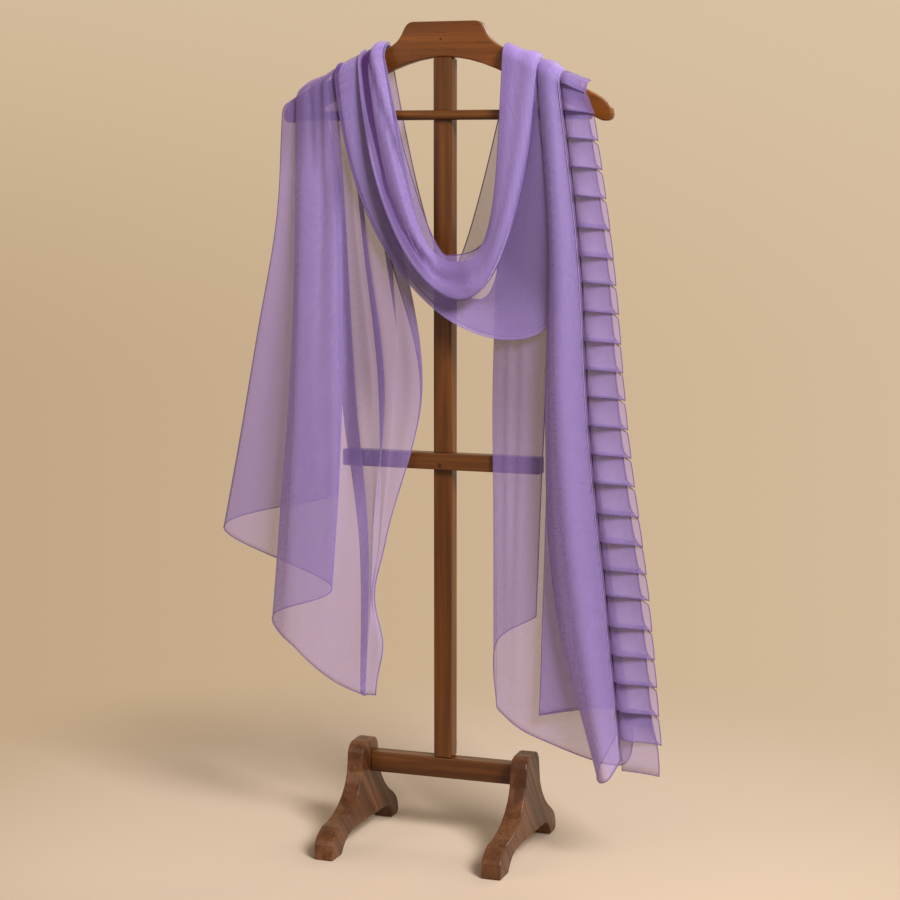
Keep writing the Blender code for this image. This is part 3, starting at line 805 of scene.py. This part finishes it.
FRONT_FOLDS = (
    SwagFold("inner edge", -0.081, 0.0006, 0.045, -0.038, 0.016, 0.010, -0.022, 0.819,
             0.093, -0.036, 0.002, 0.0004, 0.090),
    SwagFold("inner tuck", -0.104, 0.0012, 0.032, -0.040, 0.040, 0.036, -0.028, 0.776,
             0.050, -0.038, -0.010, 0.0008, 0.140),
    SwagFold("first back turn", -0.078, 0.0020, 0.049, -0.044, 0.062, 0.030, -0.034, 0.806,
             0.060, -0.042, 0.002, 0.0012, 0.090),
    SwagFold("first tuck", -0.110, 0.0032, 0.030, -0.048, 0.044, 0.040, -0.040, 0.768,
             0.046, -0.046, -0.012, 0.0016, 0.138),
    SwagFold("rope back turn", -0.081, 0.0046, 0.046, -0.056, 0.056, 0.032, -0.048, 0.812,
             0.056, -0.064, 0.004, 0.0056, 0.090),
    SwagFold("main rope", -0.114, 0.0080, 0.030, -0.072, 0.050, 0.044, -0.066, 0.763,
             0.044, -0.058, -0.013, 0.0060, 0.137),
    SwagFold("rope tuck", -0.094, 0.0062, 0.034, -0.050, 0.046, 0.040, -0.044, 0.790,
             0.054, -0.052, 0.004, 0.0044, 0.095),
    SwagFold("lower valley", -0.130, 0.0040, 0.034, -0.038, 0.070, 0.066, -0.036, 0.743,
             0.078, -0.040, 0.010, 0.0036, 0.142),
    SwagFold("outer fold", -0.150, 0.0082, 0.030, -0.056, 0.098, 0.104, -0.046, 0.709,
             0.116, -0.046, 0.022, 0.0032, 0.150),
    SwagFold("under turn", -0.110, 0.0062, 0.032, -0.040, 0.060, 0.060, -0.034, 0.762,
             0.036, -0.042, 0.002, 0.0026, 0.097),
    SwagFold("turned edge", -0.144, 0.0068, 0.030, -0.044, 0.092, 0.100, -0.038, 0.713,
             0.112, -0.046, 0.018, 0.0022, 0.146),
)
FRONT_CREASES = (
    Crease("inner ridge", 2.45, -0.2, 2.5, 1.2, 0.0030, 0.007),
    Crease("strand crown", 4.42, -0.2, 4.35, 0.46, 0.0050, 0.008),
    Crease("strand groove", 4.82, -0.2, 4.55, 0.46, -0.0065, 0.0034),
    Crease("outer strand", 4.97, -0.2, 4.90, 0.50, 0.0030, 0.004),
    Crease("upper streak", 4.66, 0.02, 4.10, 0.20, -0.0034, 0.0028),
    Crease("long streak", 4.92, 0.12, 4.35, 0.42, -0.0034, 0.0030),
    Crease("bottom crown", 4.70, 0.40, 4.70, 0.60, 0.0040, 0.010),
    Crease("right crown", 4.74, 0.60, 4.76, 1.2, 0.0060, 0.013),
    Crease("outer band", 7.75, -0.2, 7.70, 0.30, 0.0040, 0.007),
    Crease("low wrinkle", 7.3, 0.42, 7.5, 0.58, 0.0025, 0.006),
    Crease("right hollow", 7.5, 0.62, 7.4, 1.2, -0.0050, 0.010),
)
# Painted shade: more cover on the outer fold at the left wing and between the rope and the outer fold.
SWAG_CLOSER_PAINTED_SHADE = (
    Shade("outer fold at the left wing", 0.50, 7.3, 10.0, 0.5, 0.0, 0.14, 0.20),
    Shade("between the rope and the outer fold", 0.60, 5.3, 7.62, 0.3, 0.05, 0.32, 0.09),
)
# Painted shade: plum in the swag's hollows, grooves and streaks and over the rope's left part.
SWAG_PAINTED_SHADES = (
    Shade("between the rope and the outer fold", 1.0, 5.3, 7.62, 0.3, 0.05, 0.32, 0.09),
    Shade("below the rope on the right", 0.50, 5.3, 8.4, 0.5, 0.70, 0.90, 0.10),
    Shade("strand groove", 0.70, 4.68, 4.86, 0.10, 0.02, 0.34, 0.10),
    Shade("upper streak", 0.60, 4.69, 4.75, 0.09, 0.04, 0.17, 0.05, 3.1),
    Shade("long streak", 0.55, 5.12, 5.17, 0.08, 0.13, 0.38, 0.06, 1.9),
    Shade("inner side of the rope on the right", 0.35, 3.6, 4.25, 0.20, 0.70, 0.92, 0.12),
    Shade("inner side of the rope at the bottom", 0.40, 3.9, 4.5, 0.3, 0.44, 0.52, 0.06),
    Shade("whole rope on the left", 0.18, 3.9, 5.2, 0.4, 0.16, 0.46, 0.06),
)
ROPE_FROM, ROPE_TO, ROPE_SOFT = 3.9, 5.2, 0.5
BOTTOM_FROM, BOTTOM_TO, BOTTOM_SOFT, BOTTOM_LOOSENED = 0.46, 0.54, 0.10, 0.65


def swag_cover_and_painted_shade(across, along):
    """The rope is close on both sides and looser at the bottom. Painted shade, closer and plum, lies in the
    deep hollows that part it from the outer fold.
    """
    bottom = within(along, BOTTOM_FROM, BOTTOM_TO, BOTTOM_SOFT)
    rope = within(across, ROPE_FROM, ROPE_TO, ROPE_SOFT) * (1.0 - BOTTOM_LOOSENED * bottom)
    return max(rope, strongest(SWAG_CLOSER_PAINTED_SHADE, across, along)), strongest(SWAG_PAINTED_SHADES, across, along)


front_rows = press_creases(swag_rows(FRONT_FOLDS, -1), FRONT_CREASES, 1)
front_swag = lay_cloth("organza_front_swag", front_rows, -1, "front_swag", swag_cover_and_painted_shade)
front_hem = roll_hems("hem_front_swag", [side_of(front_rows, 0), side_of(front_rows, -1)])

# ---------------------------------------------------------------- the back pass
# Behind the hanger board the stole crosses from the left wing to the right one as a narrow gathered band. Its
# five fold lines run from crest to crest, and its edges carry no rolled hem.

BACK_FOLDS = (
    SwagFold("upper edge", -0.081, 0.0010, 0.027, 0.016, 0.027, 0.0, 0.0130, 1.108,
             0.043, 0.022, -0.043, 0.0026, 0.130),
    SwagFold("upper fold", -0.096, 0.0050, 0.032, 0.021, 0.032, 0.0, 0.0155, 1.104,
             0.045, 0.026, -0.045, 0.0034, 0.136),
    SwagFold("middle fold", -0.116, 0.0088, 0.039, 0.025, 0.039, 0.0, 0.0135, 1.099,
             0.047, 0.029, -0.047, 0.0042, 0.142),
    SwagFold("lower fold", -0.134, 0.0100, 0.045, 0.028, 0.045, 0.0, 0.0165, 1.094,
             0.051, 0.032, -0.051, 0.0050, 0.153),
    SwagFold("lower edge", -0.150, 0.0104, 0.050, 0.030, 0.050, 0.0, 0.0140, 1.090,
             0.055, 0.034, -0.055, 0.0046, 0.165),
)
BACK_CREASES = (
    Crease("upper ridge", 0.9, 0.15, 1.1, 0.80, 0.0008, 0.003),
    Crease("lower ridge", 2.9, 0.10, 2.8, 0.90, 0.0010, 0.003),
)
back_rows = press_creases(swag_rows(BACK_FOLDS, 1), BACK_CREASES, 1, waver=0.0002)
back_pass = lay_cloth("organza_back_pass", back_rows, 1, "back_pass")

# ---------------------------------------------------------------- the right end
# The right end falls from the right wing to a slanting rolled hem. A flat panel lies behind, and in front of
# it a round fold runs down beside the seam that carries the ruffle.

RIGHT_FOLDS = (
    EndFold("back edge", 0.0030, 0.130, 0.156, 0.154, 0.147, 0.141, -0.024, -0.027, 0.332),
    EndFold("left turn back", 0.0032, 0.131, 0.094, 0.084, 0.085, 0.086, -0.027, -0.031, 0.294),
    EndFold("left turn front", 0.0036, 0.132, 0.095, 0.085, 0.086, 0.087, -0.030, -0.036, 0.218),
    EndFold("left corner", 0.0038, 0.133, 0.102, 0.096, 0.096, 0.097, -0.031, -0.038, 0.196),
    EndFold("crease", 0.0044, 0.135, 0.145, 0.152, 0.150, 0.148, -0.033, -0.042, 0.168),
    EndFold("right turn low", 0.0046, 0.167, 0.196, 0.212, 0.240, 0.270, -0.036, -0.047, 0.143),
    EndFold("right turn high", 0.0050, 0.168, 0.197, 0.213, 0.240, 0.269, -0.039, -0.052, 0.222),
    EndFold("pleat edge", 0.0054, 0.140, 0.160, 0.162, 0.160, 0.156, -0.044, -0.059, 0.204),
    EndFold("inner turn", 0.0058, 0.169, 0.198, 0.214, 0.241, 0.270, -0.050, -0.065, 0.220),
    EndFold("tube left", 0.0062, 0.140, 0.161, 0.163, 0.182, 0.246, -0.060, -0.084, 0.140),
    EndFold("tube front", 0.0066, 0.155, 0.178, 0.190, 0.217, 0.263, -0.076, -0.104, 0.134),
    EndFold("ruffle seam", 0.0066, 0.171, 0.2038, 0.2228, 0.2512, 0.279, -0.061, -0.085, 0.160),
)
RIGHT_CREASES = (
    Crease("panel ridge", 3.6, 0.12, 3.5, 0.85, 0.0040, 0.007),
    Crease("panel rise", 3.15, 0.10, 3.2, 0.80, 0.0030, 0.006),
    Crease("tube crown", 9.9, -0.2, 10.1, 0.96, 0.0050, 0.012),
    Crease("beside the crown", 9.3, 0.15, 9.4, 0.75, -0.0020, 0.007),
)
RIGHT_CLOSER = (Shade("round fold, all the way down", 0.20, 9.2, 11.0, 0.5, 0.0, 1.0, 1.0),)
# Painted shade: plum where the front swag shades the panel and beside the round fold.
RIGHT_PAINTED_SHADES = (
    Shade("in the shade of the front swag", 0.55, 0.0, 4.4, 0.6, 0.20, 0.50, 0.20),
    Shade("beside the round fold", 0.42, 8.8, 9.30, 0.34, 0.10, 0.72, 0.15),
)


def right_cover_and_painted_shade(across, along):
    """How gathered the right end is at a fold line and a share of the length, and how much painted shade lies
    there.
    """
    return strongest(RIGHT_CLOSER, across, along), strongest(RIGHT_PAINTED_SHADES, across, along)


right_rows = press_creases(end_rows(RIGHT_FOLDS, steps=120), RIGHT_CREASES, -1)
right_end = lay_cloth("organza_right_end", right_rows, -1, "right_end", right_cover_and_painted_shade)
right_hem = roll_hems("hem_right_end", [side_of(right_rows, 0), right_rows[-1]])

# The seam is a dark cord. The edge stitched down beside it is double cloth, so closer, and paler as a painted
# highlight.
SEAM_CORD = 0.0008
SEAM_FORWARD = Vector((-0.0002, -0.0022, 0.0))
EDGE_CORD = 0.0005
STITCHED_EDGE = Vector((-0.0020, -0.0020, 0.0))
EDGE_HIGHLIGHT_PALE, EDGE_COVER = (0.50, 0.37, 0.74, 1.0), 0.80
# Painted highlight: the stitched edge's cord is coloured paler than the cloth.
HIGHLIGHTED_EDGE = sheer_cloth("organza, edge with painted highlight", LILAC_PALE, EDGE_HIGHLIGHT_PALE, EDGE_COVER)
seam_line = side_of(right_rows, -1)[2:]
seam_cord = roll_hems("ruffle_seam", [[point + SEAM_FORWARD for point in seam_line]], SEAM_CORD)
seam_edge = roll_hems("seam_edge", [[point + STITCHED_EDGE for point in seam_line]], EDGE_CORD, HIGHLIGHTED_EDGE)

# ---------------------------------------------------------------- the pleated ruffle
# A strip of the same organza in knife pleats, sewn along the seam. Each pleat is pressed flat at the seam,
# laps over the next one down and opens out towards its free edge.

PLEATS = 24
FIRST_PLEAT = -0.005
PITCH = 0.0422
RUFFLE_WIDTHS = (0.042, 0.047, 0.054, 0.060, 0.057)
OPENING = 0.012
RUFFLE_COLUMNS = 12
RUFFLE_HEM = 0.0006
SEAM_GAP = 0.0005
# Over the crest the free edge stands off the wing by the rise, and lies lower by the fall times the width.
# All the way down it sags a little.
CREST_SHARE = 0.045
EDGE_RISE = 0.004
EDGE_FALL = 0.484
EDGE_SAG = 0.004
OPENING_LIFT = 0.3
# Below the hem the strip runs on straight down, at this many metres for the seam's whole length.
FALL_BELOW_HEM = 0.87
# The first pleat, over the crest, opens less and is narrower. All pleats differ by chance within the spreads.
FIRST_OPENING, FIRST_REACH = 0.6, 0.8
OPENING_SPREAD, TILT_SPREAD, LAP_SPREAD = (0.8, 1.2), (-0.2, 0.2), (-0.06, 0.06)
LAP_FROM = 0.9
# The strip ends flat, in these shares of the seam.
LAST_LINES = (0.975, 1.0, 1.016)
LAST_REACH, LAST_FORWARD = 0.9, 0.001
# How far a pleat stands open on its way from the seam to its free edge.
OPEN_ACROSS = (0.14, 0.95, 1.00, 0.78, 0.52, 0.36, 0.28)
# Down one pleat: share of the pitch, share of the opening it stands forward, and how far out it reaches.
PLEAT_PROFILE = (
    (-1.08, 0.02, 0.79),
    (-0.50, 0.04, 0.80),
    (0.00, 0.08, 0.84),
    (0.12, 0.13, 0.965),
    (0.25, 0.20, 0.98),
    (0.50, 0.42, 0.99),
    (0.75, 0.72, 1.00),
    (0.92, 0.94, 1.00),
    (1.00, 1.00, 1.00),
    (1.02, 0.95, 1.00),
    (0.97, 0.86, 0.93),
    (0.75, 0.62, 0.80),
    (0.50, 0.36, 0.79),
    (0.25, 0.18, 0.79),
    (-0.08, 0.07, 0.79),
)


def ruffle_point(share, out, forward):
    """A point of the ruffle at a share of the seam, a share out from it and this far forward."""
    seam = RIGHT_FOLDS[-1]
    width = through(RUFFLE_WIDTHS, min(max(share, 0.0), 1.0))
    if share < 0:
        line = crest_line(seam.x_top + SEAM_GAP + width * out, seam.lift + EDGE_RISE * out, -1)
        on = (1 + max(share, -CREST_SHARE) / CREST_SHARE) * CREST_STEPS
        low = min(int(on), CREST_STEPS - 1)
        point = Vector(line[low]).lerp(Vector(line[low + 1]), on - low)
        return point + Vector((0.0, -forward, forward * OPENING_LIFT))
    x, y, z = hanging_end(RIGHT_FOLDS, min(share, 1.0))[-1]
    if share > 1.0:
        z -= (share - 1.0) * FALL_BELOW_HEM
    near_crest = 1 - smooth(share / CREST_SHARE)
    y -= near_crest * EDGE_RISE * out
    z -= near_crest * (EDGE_FALL * width - EDGE_RISE) * out + EDGE_SAG * out * out
    return Vector((x + SEAM_GAP + width * out, y - forward, z))


def ruffle_rows():
    """Rows down the ruffle: each pleat's face comes down in front, turns under and goes up again behind."""
    dice = random.Random(7)
    rows = []
    for pleat in range(-1, PLEATS - 1):
        opening = OPENING * dice.uniform(*OPENING_SPREAD) * (FIRST_OPENING if pleat < 0 else 1.0)
        tilt = dice.uniform(*TILT_SPREAD)
        lap = dice.uniform(*LAP_SPREAD)
        for down, forward, reach in PLEAT_PROFILE:
            if pleat < 0 and down < 0:
                continue
            share = FIRST_PLEAT + (pleat + down + (lap if down > LAP_FROM else 0.0)) * PITCH
            row = []
            for column in range(RUFFLE_COLUMNS + 1):
                out = column / RUFFLE_COLUMNS
                open_here = through(OPEN_ACROSS, out) * (1 + tilt * out)
                reach_here = reach * (FIRST_REACH if pleat < 0 else 1.0)
                row.append(ruffle_point(share, out * reach_here, forward * opening * open_here))
            rows.append(row)
    for share in LAST_LINES:
        outs = [column / RUFFLE_COLUMNS * LAST_REACH for column in range(RUFFLE_COLUMNS + 1)]
        rows.append([ruffle_point(share, out, LAST_FORWARD) for out in outs])
    return rows


ruffle_grid = ruffle_rows()

# The first pleat leaves out three lines of the profile, so the lines of the others count on from there. From
# line 10 of the profile on, a pleat is turned under.
LINES_LEFT_OUT = 3
UNDER_FROM = 10
# How much painted shade tints each place of a pleat plum, and where its start and the ruffle's top lie, with
# their soft borders.
UNDERSIDE_PAINTED_SHADE, FACE_PAINTED_SHADE, TOP_PAINTED_SHADE, PLEAT_START_PAINTED_SHADOW = 0.30, 0.14, 0.35, 0.75
START_ACROSS = 0.75
START_DOWN = (-0.1, 0.12, 0.30)
TOP_ALONG = (0.0, 0.04, 0.05)


def ruffle_cover_and_painted_shade(across, along):
    """Painted shade: plum where a pleat starts in the shadow of the one above, most at the seam, on its
    turned-under side, at the ruffle's top and a little all over.
    """
    line = (round(along * (len(ruffle_grid) - 1)) + LINES_LEFT_OUT) % len(PLEAT_PROFILE)
    if line >= UNDER_FROM:
        return 0.0, UNDERSIDE_PAINTED_SHADE
    near_seam = 1 - smooth(across / START_ACROSS)
    start = within(PLEAT_PROFILE[line][0], *START_DOWN)
    return 0.0, max(FACE_PAINTED_SHADE, TOP_PAINTED_SHADE * within(along, *TOP_ALONG), PLEAT_START_PAINTED_SHADOW * near_seam * start)


ruffle = lay_cloth("organza_ruffle", ruffle_grid, -1, "pleated_ruffle", ruffle_cover_and_painted_shade)
ruffle_hem = roll_hems("hem_ruffle", [side_of(ruffle_grid, -1), ruffle_grid[-1]], RUFFLE_HEM)
